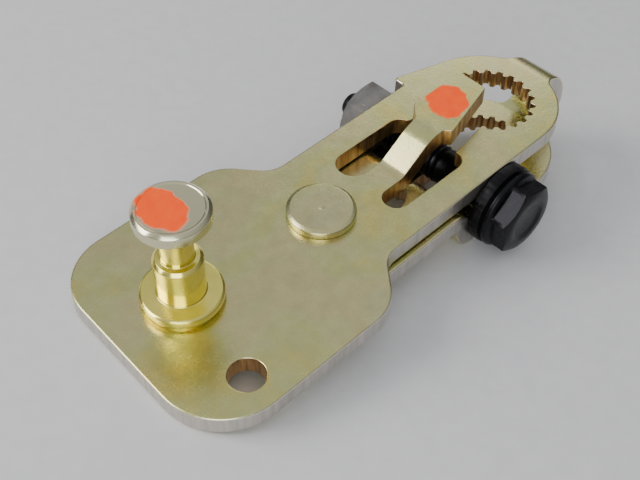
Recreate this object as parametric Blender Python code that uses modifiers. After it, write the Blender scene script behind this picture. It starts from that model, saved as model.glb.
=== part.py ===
"""Pinch-clamp control lever: a folded sheet-steel lever with a serrated eye, a cable stud, a rivet
and an M5 pinch bolt.  Metres, +Z up.  The lever's flat top face lies level; X runs from the wide
base to the folded end and Y along the pinch bolt, whose head is on the -Y side."""

import math

import bmesh
import bpy
from mathutils import Matrix

MM = 0.001

# ---- the sheet and its fold (millimetres, measured from the centre rivet on the top face) ----
SHEET = 2.3                 # thickness of the steel
LEAF_GAP = 5.4              # room for the bolt between the two leaves
CONTACT_GAP = 0.3           # left between faces that touch on the real lever
FOLD_X = 36.9               # where the neck starts to turn down
NECK_NEAR = -3.1
NECK_FAR = 2.75
NECK_FILLET_NEAR = 1.5
NECK_FILLET_FAR = 3.0
FOLD_OUTER = SHEET + LEAF_GAP / 2
FOLD_MID = FOLD_OUTER - SHEET / 2
FOLD_LENGTH = math.pi * FOLD_MID

# ---- the top leaf ----
BASE_NEAR_X = -28.65        # the end of the base is a little askew
BASE_FAR_X = -27.25
BASE_HALF = 14.5
BASE_SHOULDER_X = -3.8      # where the wide base starts to narrow
ARM_START_X = 0.8
ARM_HALF = 9.1
LUG_X = 23.35               # step on the far edge that keeps the nut from turning
LUG_Y = 10.95
RING_X = 28.7
RING_Y = -0.1
RING_RADIUS = 9.0
EYE_X = 29.0
EYE_Y = -0.2
EYE_TIP = 5.2
EYE_ROOT = 5.8
EYE_TEETH = 22

# ---- the lower leaf ----
LOWER_RING_RADIUS = 9.4
LOWER_HALF = 9.7            # half width of the raised part under the base
WIDEN_X = 14.5              # the leaf widens from here towards the rivet, clear of the washer
LOWER_END_X = -6.0
RELIEF_X = 8.7
RELIEF_RADIUS = 3.5
LOWER_SLOT_HALF = 1.6
JOGGLE_X = 16.8             # the leaf starts to rise here on its way back to the rivet
JOGGLE_ANGLE = math.radians(65)
JOGGLE_BEND = 1.8           # bend radius at the middle of the sheet

# ---- the tongue, cut from the top leaf and set up over the eye ----
STRAP_NEAR = -2.25
STRAP_FAR = 1.4
TONGUE_BEND_X = 10.2
TONGUE_ANGLE = math.radians(35)
TONGUE_BEND = 3.0
TONGUE_RISE = 3.3

# ---- fasteners ----
RIVET_Y = 0.3
RIVET_SHANK = 2.5
RIVET_HEAD = 4.0
STUD_X = -18.9
STUD_Y = 1.7
STUD_SHANK = 2.5
STUD_HEAD = 4.0
STUD_NECK = 1.8
STUD_SHOULDER = 2.65
LINK_X = -20.6
LINK_Y = -10.2
LINK_RADIUS = 2.0
BOLT_X = 20.1
BOLT_Z = -(SHEET + LEAF_GAP / 2)
BOLT_RADIUS = 2.4
BOLT_THREAD_END_Y = 14.2
BOLT_TIP_Y = 15.4
FLANGE_BACK_Y = -11.1
HEAD_END_Y = -14.3
HEAD_FLATS = 8.0
HEAD_FACE_RADIUS = 3.55
HEAD_CORNER_ANGLE = math.radians(40)
WASHER_BACK_Y = -ARM_HALF - CONTACT_GAP
WASHER_FRONT_Y = -10.8
WASHER_OUTER = 5.15
NUT_NEAR_Y = ARM_HALF + CONTACT_GAP
NUT_THICK = 3.7
NUT_FLATS = 8.0
NUT_FACE_RADIUS = 4.1
NUT_CHAMFER = 0.3
NUT_CORNER_ANGLE = math.radians(72)
HEX_CORNER = 2 / math.sqrt(3)   # across corners for a hexagon one unit across its flats

for old in list(bpy.data.objects):
    bpy.data.objects.remove(old, do_unlink=True)

parts = bpy.data.collections.new("pinch_lever")
bpy.context.scene.collection.children.link(parts)
guides = bpy.data.collections.new("guides")
bpy.context.scene.collection.children.link(guides)


def paint(obj, colour, roughness, metallic):
    """Give an object its own Principled material."""
    material = bpy.data.materials.new(obj.name)
    material.use_nodes = True
    shader = material.node_tree.nodes["Principled BSDF"]
    shader.inputs["Base Color"].default_value = (*colour, 1)
    shader.inputs["Roughness"].default_value = roughness
    shader.inputs["Metallic"].default_value = metallic
    obj.data.materials.clear()
    obj.data.materials.append(material)


def placed(x, y, z):
    """A point in the lever's millimetres, in the part's frame and metres."""
    return ((x - ORIGIN_X) * MM, (y - ORIGIN_Y) * MM, (z - ORIGIN_Z) * MM)


def keep(name, mesh, at=(0, 0, 0)):
    """Link a mesh as a finished part; `at` is in the lever's millimetres."""
    obj = bpy.data.objects.new(name, mesh)
    parts.objects.link(obj)
    obj.location = placed(*at)
    return obj


# ---------------------------------------------------------------- outlines
def arc(cx, cy, radius, start, end, steps):
    """Points on a circle from one angle to another, in degrees."""
    turn = [math.radians(start + (end - start) * i / steps) for i in range(steps + 1)]
    return [(cx + radius * math.cos(a), cy + radius * math.sin(a)) for a in turn]


def rounded(corners, steps=5):
    """A polyline with each corner (x, y, radius) replaced by a tangent arc."""
    points = []
    count = len(corners)
    for i, (x, y, radius) in enumerate(corners):
        if not radius:
            points.append((x, y))
            continue
        before = corners[i - 1]
        after = corners[(i + 1) % count]
        a = math.atan2(before[1] - y, before[0] - x)
        b = math.atan2(after[1] - y, after[0] - x)
        opening = (b - a + math.pi) % (2 * math.pi) - math.pi
        reach = radius / math.sin(abs(opening) / 2)
        middle = a + opening / 2
        cx = x + reach * math.cos(middle)
        cy = y + reach * math.sin(middle)
        first = a - math.copysign(math.pi / 2, opening)
        sweep = math.copysign(math.pi - abs(opening), opening)
        for k in range(steps + 1):
            t = first - sweep * k / steps
            points.append((cx + radius * math.cos(t), cy + radius * math.sin(t)))
    return points


def teeth(start, end):
    """The serrated bore from one angle to another: four points to each tooth."""
    pitch = 360 / EYE_TEETH
    points = []
    for tooth in range(math.ceil(start / pitch), math.floor(end / pitch) + 1):
        for part, radius in ((-0.36, EYE_ROOT), (-0.14, EYE_TIP), (0.14, EYE_TIP), (0.36, EYE_ROOT)):
            a = math.radians((tooth + part) * pitch)
            points.append((EYE_X + radius * math.cos(a), EYE_Y + radius * math.sin(a)))
    return points


def unrolled(points):
    """Lower-leaf points (x, y) moved to where they lie on the flat blank."""
    return [(2 * FOLD_X + FOLD_LENGTH + leaf_slack(x) - x, y) for x, y in points]


def bent_run(rise, angle, radius):
    """Straight length between two opposite bends that together lift the sheet by `rise`."""
    return (rise - 2 * radius * (1 - math.cos(angle))) / math.sin(angle)


JOGGLE_RISE = LEAF_GAP - CONTACT_GAP
JOGGLE_RUN = bent_run(JOGGLE_RISE, JOGGLE_ANGLE, JOGGLE_BEND)
JOGGLE_SPAN = 2 * JOGGLE_BEND * math.sin(JOGGLE_ANGLE) + JOGGLE_RUN * math.cos(JOGGLE_ANGLE)
JOGGLE_SLACK = 2 * JOGGLE_BEND * JOGGLE_ANGLE + JOGGLE_RUN - JOGGLE_SPAN
TONGUE_RUN = bent_run(TONGUE_RISE, TONGUE_ANGLE, TONGUE_BEND)
TONGUE_SPAN = 2 * TONGUE_BEND * math.sin(TONGUE_ANGLE) + TONGUE_RUN * math.cos(TONGUE_ANGLE)
TONGUE_SLACK = 2 * TONGUE_BEND * TONGUE_ANGLE + TONGUE_RUN - TONGUE_SPAN


def leaf_slack(x):
    """Extra sheet used up by the joggle between the fold and this x of the lower leaf."""
    done = min(max((JOGGLE_X - x) / JOGGLE_SPAN, 0), 1)
    return done * JOGGLE_SLACK


def neck_fillet(ring_radius, edge_y, fillet, steps=6):
    """The curve from a ring's edge into one side of the neck, starting on the ring."""
    side = math.copysign(1, edge_y)
    fy = edge_y + side * fillet
    reach = ring_radius + fillet
    fx = RING_X + math.sqrt(reach ** 2 - (fy - RING_Y) ** 2)
    from_ring = math.degrees(math.atan2(RING_Y - fy, RING_X - fx))
    to_neck = -90 * side
    turn = (to_neck - from_ring + 180) % 360 - 180
    return arc(fx, fy, fillet, from_ring, from_ring + turn, steps)


def ring_angle(point):
    """Bearing of a point from the ring's centre, in degrees."""
    return math.degrees(math.atan2(point[1] - RING_Y, point[0] - RING_X))


def top_near_edge():
    fillet = neck_fillet(RING_RADIUS, NECK_NEAR, NECK_FILLET_NEAR)
    edge = rounded([(BASE_FAR_X, BASE_HALF, 0), (BASE_NEAR_X, -BASE_HALF, 7.7),
                    (BASE_SHOULDER_X, -BASE_HALF, 5.5), (ARM_START_X, -ARM_HALF, 3.3),
                    (RING_X, -ARM_HALF, 0)])[1:-1]
    return edge + arc(RING_X, RING_Y, RING_RADIUS, -90, ring_angle(fillet[0]), 16)[:-1] + fillet


def top_far_edge():
    fillet = neck_fillet(RING_RADIUS, NECK_FAR, NECK_FILLET_FAR)
    edge = fillet[::-1] + arc(RING_X, RING_Y, RING_RADIUS, ring_angle(fillet[0]), 74, 10)[1:]
    return edge + rounded([(31.2, 8.54, 0), (LUG_X, LUG_Y, 0.5), (LUG_X, ARM_HALF, 0.4),
                           (ARM_START_X, ARM_HALF, 3.3), (BASE_SHOULDER_X, BASE_HALF, 5.5),
                           (BASE_FAR_X, BASE_HALF, 7.15), (BASE_NEAR_X, -BASE_HALF, 0)], 5)[1:-1]


def lower_edge():
    """The lower leaf's edge as it lies when folded, from the neck's near side round to its far side."""
    near = neck_fillet(LOWER_RING_RADIUS, NECK_NEAR, NECK_FILLET_NEAR)
    far = neck_fillet(LOWER_RING_RADIUS, NECK_FAR, NECK_FILLET_FAR)
    leg = math.degrees(math.asin((ARM_HALF + RING_Y) / LOWER_RING_RADIUS))
    far_leg = math.degrees(math.asin((ARM_HALF - RING_Y) / LOWER_RING_RADIUS))
    rise = JOGGLE_X - JOGGLE_SPAN
    edge = near[::-1] + arc(RING_X, RING_Y, LOWER_RING_RADIUS, ring_angle(near[0]), leg - 180, 16)[1:]
    edge += [(WIDEN_X, -ARM_HALF), (WIDEN_X - 1.4, -LOWER_HALF), (rise, -LOWER_HALF)]
    edge += arc(LOWER_END_X + 5, 5 - LOWER_HALF, 5, -90, -180, 6)
    edge += arc(LOWER_END_X + 5, LOWER_HALF - 5, 5, 180, 90, 6)
    edge += [(rise, LOWER_HALF), (WIDEN_X - 1.4, LOWER_HALF), (WIDEN_X, ARM_HALF)]
    edge += arc(RING_X, RING_Y, LOWER_RING_RADIUS, 180 - far_leg, ring_angle(far[0]), 16)[:-1] + far
    return edge


def top_opening():
    """Two slots, the mouth and the serrated eye, all round the tongue."""
    points = arc(7.93, -3.875, 1.625, 90, 270, 8)
    points += arc(16.8, -3.6, 1.9, -90, 0, 6)
    points += [(18.9, -3.55), (21.7, -3.2), (23.4, -2.9)]
    points += teeth(-150, 131)
    points += [(24.3, 3.85), (18.95, 3.95)]
    points += arc(16.8, 3.6, 1.9, 20, 90, 5)
    points += arc(8.35, 3.45, 2.05, 90, 270, 8)
    head = [(16.85, STRAP_FAR), (17.4, 1.75), (18.0, 2.6), (18.5, 3.3), (27.1, 3.4), (27.0, -0.75),
            (18.2, -3.1), (17.6, -2.4), (16.85, STRAP_NEAR)]
    return points + [(x + TONGUE_SLACK, y) for x, y in head]


def lower_opening():
    """Relief hole, slot and serrated eye of the lower leaf, as one keyhole."""
    side = LOWER_SLOT_HALF
    mouth = math.degrees(math.asin(side / RELIEF_RADIUS))
    rise = JOGGLE_X - JOGGLE_SPAN
    points = arc(RELIEF_X, EYE_Y, RELIEF_RADIUS, mouth, 360 - mouth, 22)
    points += [(rise, EYE_Y - side), (JOGGLE_X, EYE_Y - side), (23.4, EYE_Y - side)]
    points += teeth(-150, 150)
    points += [(23.4, EYE_Y + side), (JOGGLE_X, EYE_Y + side), (rise, EYE_Y + side)]
    return unrolled(points)


# ---- the frame: the middle of the box in plan, and the washer's lowest point in height ----
ORIGIN_X = (min(x for x, y in top_near_edge()) + FOLD_X + FOLD_OUTER) / 2
ORIGIN_Y = (BOLT_TIP_Y - BASE_HALF) / 2
ORIGIN_Z = BOLT_Z - WASHER_OUTER


# ---------------------------------------------------------------- bending the blank
def walk(path, s):
    """Where a distance s along a path of (length, radius) pieces lies, and its heading.

    A radius of zero is straight, a positive radius turns up and a negative one turns down."""
    x = z = heading = 0.0
    for length, radius in path:
        step = min(s, length)
        if radius:
            turn = step / radius
            x += radius * (math.sin(heading + turn) - math.sin(heading))
            z += radius * (math.cos(heading) - math.cos(heading + turn))
            heading += turn
        else:
            x += step * math.cos(heading)
            z += step * math.sin(heading)
        s -= step
        if s <= 0:
            break
    return x, z, heading


FAR = 200.0                 # longer than any straight end piece of a path
LEAF_PATH = [(FOLD_LENGTH, -FOLD_MID), (FOLD_X - JOGGLE_X, 0),
             (JOGGLE_BEND * JOGGLE_ANGLE, -JOGGLE_BEND), (JOGGLE_RUN, 0),
             (JOGGLE_BEND * JOGGLE_ANGLE, JOGGLE_BEND), (FAR, 0)]
TONGUE_PATH = [(TONGUE_BEND * TONGUE_ANGLE, TONGUE_BEND), (TONGUE_RUN, 0),
               (TONGUE_BEND * TONGUE_ANGLE, -TONGUE_BEND), (FAR, 0)]


def bend_lines(path, start, pieces):
    """Blank positions where the sheet needs a row of edges so that it can bend."""
    lines = []
    for length, radius in path[:-1]:
        count = pieces if radius else 1
        lines += [start + length * k / count for k in range(count + 1)]
        start += length
    return lines


def on_tongue(x, y):
    """Whether a point of the blank belongs to the tongue rather than to the legs beside it."""
    near_limit = -3.33 + 0.21 * (x - 19.1)
    return TONGUE_BEND_X < x < 28.4 and near_limit < y < 3.55


def press(vert):
    """Move one vertex of the flat blank to its place on the finished lever."""
    x, y, w = (c / MM for c in vert.co)
    if on_tongue(x, y):
        start, path = TONGUE_BEND_X, TONGUE_PATH
    else:
        start, path = FOLD_X, LEAF_PATH
    mid = -SHEET / 2
    if x <= start:
        place = (x, y, mid + w)
    else:
        dx, dz, heading = walk(path, x - start)
        place = (start + dx - w * math.sin(heading), y, mid + dz + w * math.cos(heading))
    vert.co = [c * MM for c in place]


def build_lever():
    curve = bpy.data.curves.new("lever_plate", "CURVE")
    curve.dimensions = "2D"
    curve.fill_mode = "BOTH"
    curve.extrude = SHEET / 2 * MM
    rivet_hole = arc(0, RIVET_Y, RIVET_SHANK + CONTACT_GAP, 0, 345, 23)
    outline = top_near_edge() + unrolled(lower_edge()) + top_far_edge()
    loops = [outline, top_opening(), lower_opening()]
    loops += [rivet_hole, unrolled(rivet_hole)]
    loops.append(arc(STUD_X, STUD_Y, STUD_SHANK + CONTACT_GAP, 0, 345, 23))
    loops.append(arc(LINK_X, LINK_Y, LINK_RADIUS, 0, 345, 23))
    for points in loops:
        spline = curve.splines.new("POLY")
        spline.points.add(len(points) - 1)
        for point, (x, y) in zip(spline.points, points):
            point.co = (x * MM, y * MM, 0, 1)
        spline.use_cyclic_u = True
    blank = bpy.data.objects.new("lever_blank", curve)
    guides.objects.link(blank)
    graph = bpy.context.evaluated_depsgraph_get()
    mesh = bpy.data.meshes.new_from_object(blank.evaluated_get(graph))
    bpy.data.objects.remove(blank, do_unlink=True)
    sheet = bmesh.new()
    sheet.from_mesh(mesh)
    bmesh.ops.remove_doubles(sheet, verts=sheet.verts, dist=0.00001)
    lines = bend_lines(TONGUE_PATH, TONGUE_BEND_X, 4)
    lines += bend_lines(LEAF_PATH[:2], FOLD_X, 14)
    lines += bend_lines(LEAF_PATH[1:], FOLD_X + FOLD_LENGTH, 5)
    for line in sorted(set(lines)):
        bmesh.ops.bisect_plane(sheet, geom=sheet.verts[:] + sheet.edges[:] + sheet.faces[:], dist=0.000002,
                               plane_co=(line * MM, 0, 0), plane_no=(1, 0, 0))
    for vert in sheet.verts:
        press(vert)
    bmesh.ops.triangulate(sheet, faces=sheet.faces[:])
    bmesh.ops.recalc_face_normals(sheet, faces=sheet.faces[:])
    sheet.to_mesh(mesh)
    sheet.free()
    mesh.name = "lever_plate"
    lever = keep("lever_plate", mesh)
    paint(lever, (0.50, 0.46, 0.30), 0.35, 1.0)


# ---------------------------------------------------------------- turned pieces and hexagons
def turned(name, profile, at, along_bolt=False, steps=48):
    """Spin a closed profile of (radius, height) corners with a Screw modifier."""
    mesh = bpy.data.meshes.new(name)
    edges = [(i, i + 1) for i in range(len(profile) - 1)]
    if profile[0][0] > 0:
        edges.append((len(profile) - 1, 0))
    mesh.from_pydata([(r * MM, 0, h * MM) for r, h in profile], edges, [])
    obj = keep(name, mesh, at)
    screw = obj.modifiers.new("turn", "SCREW")
    screw.axis = "Z"
    screw.steps = steps
    screw.render_steps = steps
    screw.use_merge_vertices = True
    screw.merge_threshold = 0.00001
    screw.use_normal_calculate = False
    if along_bolt:
        obj.rotation_euler = (-math.pi / 2, 0, 0)
    return obj


def hexagon(name, flats, corner_angle, y_from, y_to):
    """A hexagonal prism along the bolt, one corner at an angle from +X towards +Z."""
    radius = flats * HEX_CORNER / 2 * MM
    bpy.ops.mesh.primitive_cylinder_add(vertices=6, radius=radius, depth=(y_to - y_from) * MM)
    prism = bpy.context.object
    prism.name = name
    first = prism.data.vertices[0].co
    turn = corner_angle - math.atan2(first.y, first.x)
    prism.data.transform(Matrix.Rotation(math.pi / 2, 4, "X") @ Matrix.Rotation(turn, 4, "Z"))
    prism.location = placed(BOLT_X, (y_from + y_to) / 2, BOLT_Z)
    for collection in list(prism.users_collection):
        collection.objects.unlink(prism)
    return prism


def boolean(obj, cutter, operation):
    """Join, cut or intersect with a guide, which stays hidden in its own collection."""
    modifier = obj.modifiers.new(operation.lower(), "BOOLEAN")
    modifier.operation = operation
    modifier.solver = "EXACT"
    modifier.object = cutter
    if cutter.name not in guides.objects:
        guides.objects.link(cutter)
    cutter.hide_render = True
    cutter.display_type = "WIRE"


def build_rivet():
    low = -2 * SHEET - 2 * CONTACT_GAP
    head = [(0, 1.1), (3.3, 1.1), (3.8, 0.95), (RIVET_HEAD, 0.7), (RIVET_HEAD, CONTACT_GAP)]
    shank = [(RIVET_SHANK, CONTACT_GAP), (RIVET_SHANK, low)]
    tail = [(3.6, low), (3.5, low - 0.6), (2.6, low - 1.0), (0, low - 1.1)]
    rivet = turned("centre_rivet", head + shank + tail, (0, RIVET_Y, 0))
    paint(rivet, (0.52, 0.47, 0.30), 0.38, 1.0)


def build_stud():
    top = [(0, 13.45), (3.1, 13.5), (3.5, 13.6), (STUD_HEAD, 13.2), (STUD_HEAD, 12.2), (3.7, 11.9)]
    stem = [(STUD_NECK, 11.9), (STUD_NECK, 6.6), (2.3, 6.5), (STUD_SHOULDER, 6.15), (STUD_SHOULDER, 1.5)]
    collar = [(4.25, 1.5), (4.5, 1.3), (4.5, 0.65), (4.15, CONTACT_GAP), (STUD_SHANK, CONTACT_GAP)]
    low = -SHEET - CONTACT_GAP
    tail = [(STUD_SHANK, low), (3.4, low), (3.3, low - 0.4), (2.4, low - 0.65), (0, low - 0.7)]
    stud = turned("cable_stud", top + stem + collar + tail, (STUD_X, STUD_Y, 0))
    paint(stud, (0.62, 0.55, 0.25), 0.25, 1.0)


def build_bolt():
    """Turned along +Y: height runs from the threaded tip down to the head."""
    back = FLANGE_BACK_Y
    shank = [(0, BOLT_TIP_Y), (1.3, BOLT_TIP_Y), (1.6, BOLT_TIP_Y - 0.3), (1.6, BOLT_THREAD_END_Y + 0.4),
             (BOLT_RADIUS, BOLT_THREAD_END_Y - 0.4), (BOLT_RADIUS, back)]
    flange = [(4.9, back), (5.0, back - 0.3), (4.7, back - 0.7), (0, back - 0.7)]
    bolt = turned("pinch_bolt", shank + flange, (BOLT_X, 0, BOLT_Z), along_bolt=True)
    corner = HEAD_FLATS * HEX_CORNER / 2
    chamfer = [(0, back - 0.4), (corner + 0.1, back - 0.4), (corner + 0.1, HEAD_END_Y + 0.5),
               (HEAD_FACE_RADIUS, HEAD_END_Y), (0, HEAD_END_Y)]
    blank = turned("bolt_head_blank", chamfer, (BOLT_X, 0, BOLT_Z), along_bolt=True)
    parts.objects.unlink(blank)
    prism = hexagon("bolt_head_hexagon", HEAD_FLATS, HEAD_CORNER_ANGLE, HEAD_END_Y - 1, back)
    boolean(blank, prism, "INTERSECT")
    boolean(bolt, blank, "UNION")
    paint(bolt, (0.03, 0.03, 0.035), 0.4, 1.0)


def build_washer():
    back = WASHER_BACK_Y
    front = WASHER_FRONT_Y
    bore = BOLT_RADIUS + CONTACT_GAP
    profile = [(bore, back), (WASHER_OUTER - 0.15, back), (WASHER_OUTER, back - 0.15),
               (WASHER_OUTER, front + 0.15), (WASHER_OUTER - 0.15, front), (bore, front)]
    washer = turned("bolt_washer", profile, (BOLT_X, 0, BOLT_Z), along_bolt=True)
    paint(washer, (0.03, 0.03, 0.03), 0.55, 1.0)


def build_nut():
    near = NUT_NEAR_Y
    far = near + NUT_THICK
    corner = NUT_FLATS * HEX_CORNER / 2
    bore = BOLT_RADIUS + CONTACT_GAP
    profile = [(bore, far), (NUT_FACE_RADIUS, far), (corner + 0.1, far - NUT_CHAMFER),
               (corner + 0.1, near + NUT_CHAMFER), (NUT_FACE_RADIUS, near), (bore, near)]
    nut = turned("pinch_nut", profile, (BOLT_X, 0, BOLT_Z), along_bolt=True)
    prism = hexagon("nut_hexagon", NUT_FLATS, NUT_CORNER_ANGLE, near - 1, far + 1)
    boolean(nut, prism, "INTERSECT")
    paint(nut, (0.38, 0.37, 0.36), 0.5, 1.0)


build_lever()
build_rivet()
build_stud()
build_bolt()
build_washer()
build_nut()
for part in parts.objects:
    part.data.shade_smooth()
    part.data.set_sharp_from_angle(angle=math.radians(30))
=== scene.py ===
import math

import bmesh
import bpy
from mathutils import Matrix, Vector


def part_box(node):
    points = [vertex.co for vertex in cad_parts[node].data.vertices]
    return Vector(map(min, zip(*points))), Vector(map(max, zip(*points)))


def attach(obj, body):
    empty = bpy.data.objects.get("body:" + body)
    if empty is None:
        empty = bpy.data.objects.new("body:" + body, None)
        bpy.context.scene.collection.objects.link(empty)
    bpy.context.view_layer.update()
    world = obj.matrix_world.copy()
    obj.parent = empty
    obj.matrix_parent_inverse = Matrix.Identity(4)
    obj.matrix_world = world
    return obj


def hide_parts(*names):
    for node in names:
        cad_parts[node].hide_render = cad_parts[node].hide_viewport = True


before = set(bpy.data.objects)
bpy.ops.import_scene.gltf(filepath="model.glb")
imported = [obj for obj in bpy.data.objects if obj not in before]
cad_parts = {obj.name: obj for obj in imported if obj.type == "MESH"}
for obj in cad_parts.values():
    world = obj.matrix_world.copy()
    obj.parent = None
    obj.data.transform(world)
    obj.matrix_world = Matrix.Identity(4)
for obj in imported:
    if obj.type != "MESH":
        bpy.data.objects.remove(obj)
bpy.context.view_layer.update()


# ---------------------------------------------------------------------------------------------
# The lever plate. One blank of 2.3 mm steel sheet, cut with its holes and tongue in a press,
# folded back on itself at the narrow neck, and plated with yellow zinc after the bending.
# ---------------------------------------------------------------------------------------------
MM = 0.001
SHEET = 2.3
LEAF_GAP = 5.4
FIT = 0.3

plate_low, plate_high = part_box("lever_plate")
FOLD_OUTER = SHEET + LEAF_GAP / 2
FOLD_MID = FOLD_OUTER - SHEET / 2
FOLD_LENGTH = math.pi * FOLD_MID
FOLD_X = 36.9

# The rivet's axis on the lever's top face, from which the plate is set out, in millimetres.
TOP_X = plate_high.x / MM - FOLD_X - FOLD_OUTER
TOP_Y = (plate_low.y + plate_high.y) / 2 / MM
TOP_Z = plate_low.z / MM + 2 * SHEET + LEAF_GAP

# The top leaf: a wide base a little askew at its end, a narrower arm, and a ring round the eye.
BASE_NEAR_X = -28.65
BASE_FAR_X = -27.25
BASE_HALF = 14.5
BASE_NEAR_ROUNDING = 7.7
BASE_FAR_ROUNDING = 7.15
SHOULDER_X = -3.8
SHOULDER_ROUNDING = 5.5
ARM_START_X = 0.8
ARM_START_ROUNDING = 3.3
ARM_HALF = 9.1
LUG_X = 23.35
LUG_Y = 10.95
RING_X = 28.7
RING_Y = -0.1
TOP_RING = 9.0
EYE_X = 29.0
EYE_Y = -0.2
EYE_TIP = 5.2
EYE_ROOT = 5.8
EYE_TEETH = 22
NECK_NEAR = -3.1
NECK_FAR = 2.75
NECK_FILLET_NEAR = 1.5
NECK_FILLET_FAR = 3.0

# The lower leaf: a ring, a joggle that lifts it back to the base, and a wider rounded end.
LOWER_RING = 9.4
LOWER_HALF = 9.7
NARROW_TO_X = 14.5
WIDE_FROM_X = 13.1
LOWER_END_X = -6.0
LOWER_END_ROUNDING = 5
RELIEF_X = 8.7
RELIEF_RADIUS = 3.5
SLOT_HALF = 1.6
SLOT_END_X = 23.4
JOGGLE_X = 16.8
JOGGLE_ANGLE = math.radians(65)
JOGGLE_BEND = 1.8

# The tongue, cut from the top leaf on three sides and set up over the eye.
STRAP_NEAR = -2.25
STRAP_FAR = 1.4
TONGUE_BEND_X = 10.2
TONGUE_LIMIT_X = 28.4
TONGUE_LIMIT_Y = 3.55
TONGUE_ANGLE = math.radians(35)
TONGUE_BEND = 3.0
TONGUE_RISE = 3.3

# Round holes for the rivet, the stud's shank and the link.
RIVET_AT = (0, 0.3)
STUD_AT = (-18.9, 1.7)
LINK_AT = (-20.6, -10.2)
SHANK_HOLE = 2.6
LINK_HOLE = 2.0

SHARP_ANGLE = math.radians(32)


def at_lever(x, y, z):
    """A place given in millimetres from the rivet's axis on the top face, in the part's frame."""
    return Vector(((x + TOP_X) * MM, (y + TOP_Y) * MM, (z + TOP_Z) * MM))


def arc(cx, cy, radius, start, end, steps):
    """Points on a circle from one angle to another, in degrees."""
    turn = [math.radians(start + (end - start) * i / steps) for i in range(steps + 1)]
    return [(cx + radius * math.cos(a), cy + radius * math.sin(a)) for a in turn]


def rounded(corners, steps=16):
    """A closed run of corners (x, y, radius), each replaced by a tangent arc."""
    points = []
    for i, (x, y, radius) in enumerate(corners):
        if not radius:
            points.append((x, y))
            continue
        before = corners[i - 1]
        after = corners[(i + 1) % len(corners)]
        a = math.atan2(before[1] - y, before[0] - x)
        b = math.atan2(after[1] - y, after[0] - x)
        opening = (b - a + math.pi) % (2 * math.pi) - math.pi
        reach = radius / math.sin(abs(opening) / 2)
        middle = a + opening / 2
        first = a - math.copysign(math.pi / 2, opening)
        sweep = math.copysign(math.pi - abs(opening), opening)
        for k in range(steps + 1):
            t = first - sweep * k / steps
            points.append((x + reach * math.cos(middle) + radius * math.cos(t),
                           y + reach * math.sin(middle) + radius * math.sin(t)))
    return points


def teeth(start, end):
    """The serrated bore from one angle to another, with rounded tips and roots."""
    pitch = 360 / EYE_TEETH
    points = []
    shape = ((-0.42, 0.0), (-0.34, 0.12), (-0.22, 0.82), (-0.15, 1.0), (0.0, 1.03),
             (0.15, 1.0), (0.22, 0.82), (0.34, 0.12), (0.42, 0.0))
    for tooth in range(math.ceil(start / pitch), math.floor(end / pitch) + 1):
        for part, rise in shape:
            a = math.radians((tooth + part) * pitch)
            radius = EYE_ROOT - (EYE_ROOT - EYE_TIP) * rise
            points.append((EYE_X + radius * math.cos(a), EYE_Y + radius * math.sin(a)))
    return points


def bent_run(rise, angle, radius):
    """Straight length between two opposite bends that together lift the sheet by `rise`."""
    return (rise - 2 * radius * (1 - math.cos(angle))) / math.sin(angle)


def bent_span(run, angle, radius):
    """How far along the lever such a pair of bends reaches."""
    return 2 * radius * math.sin(angle) + run * math.cos(angle)


JOGGLE_RUN = bent_run(LEAF_GAP - FIT, JOGGLE_ANGLE, JOGGLE_BEND)
JOGGLE_SPAN = bent_span(JOGGLE_RUN, JOGGLE_ANGLE, JOGGLE_BEND)
JOGGLE_SLACK = 2 * JOGGLE_BEND * JOGGLE_ANGLE + JOGGLE_RUN - JOGGLE_SPAN
JOGGLE_END = JOGGLE_X - JOGGLE_SPAN
TONGUE_RUN = bent_run(TONGUE_RISE, TONGUE_ANGLE, TONGUE_BEND)
TONGUE_SPAN = bent_span(TONGUE_RUN, TONGUE_ANGLE, TONGUE_BEND)
TONGUE_SLACK = 2 * TONGUE_BEND * TONGUE_ANGLE + TONGUE_RUN - TONGUE_SPAN


def unrolled(points):
    """Lower-leaf points moved to where they lie on the flat blank."""
    flat = []
    for x, y in points:
        done = min(max((JOGGLE_X - x) / JOGGLE_SPAN, 0), 1)
        flat.append((2 * FOLD_X + FOLD_LENGTH + done * JOGGLE_SLACK - x, y))
    return flat


def neck_fillet(ring_radius, edge_y, fillet, steps=14):
    """The curve from a ring's edge into one side of the neck, starting on the ring."""
    side = math.copysign(1, edge_y)
    fy = edge_y + side * fillet
    reach = ring_radius + fillet
    fx = RING_X + math.sqrt(reach ** 2 - (fy - RING_Y) ** 2)
    from_ring = math.degrees(math.atan2(RING_Y - fy, RING_X - fx))
    turn = (-90 * side - from_ring + 180) % 360 - 180
    return arc(fx, fy, fillet, from_ring, from_ring + turn, steps)


def ring_angle(point):
    """Bearing of a point from the ring's centre, in degrees."""
    return math.degrees(math.atan2(point[1] - RING_Y, point[0] - RING_X))


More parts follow.
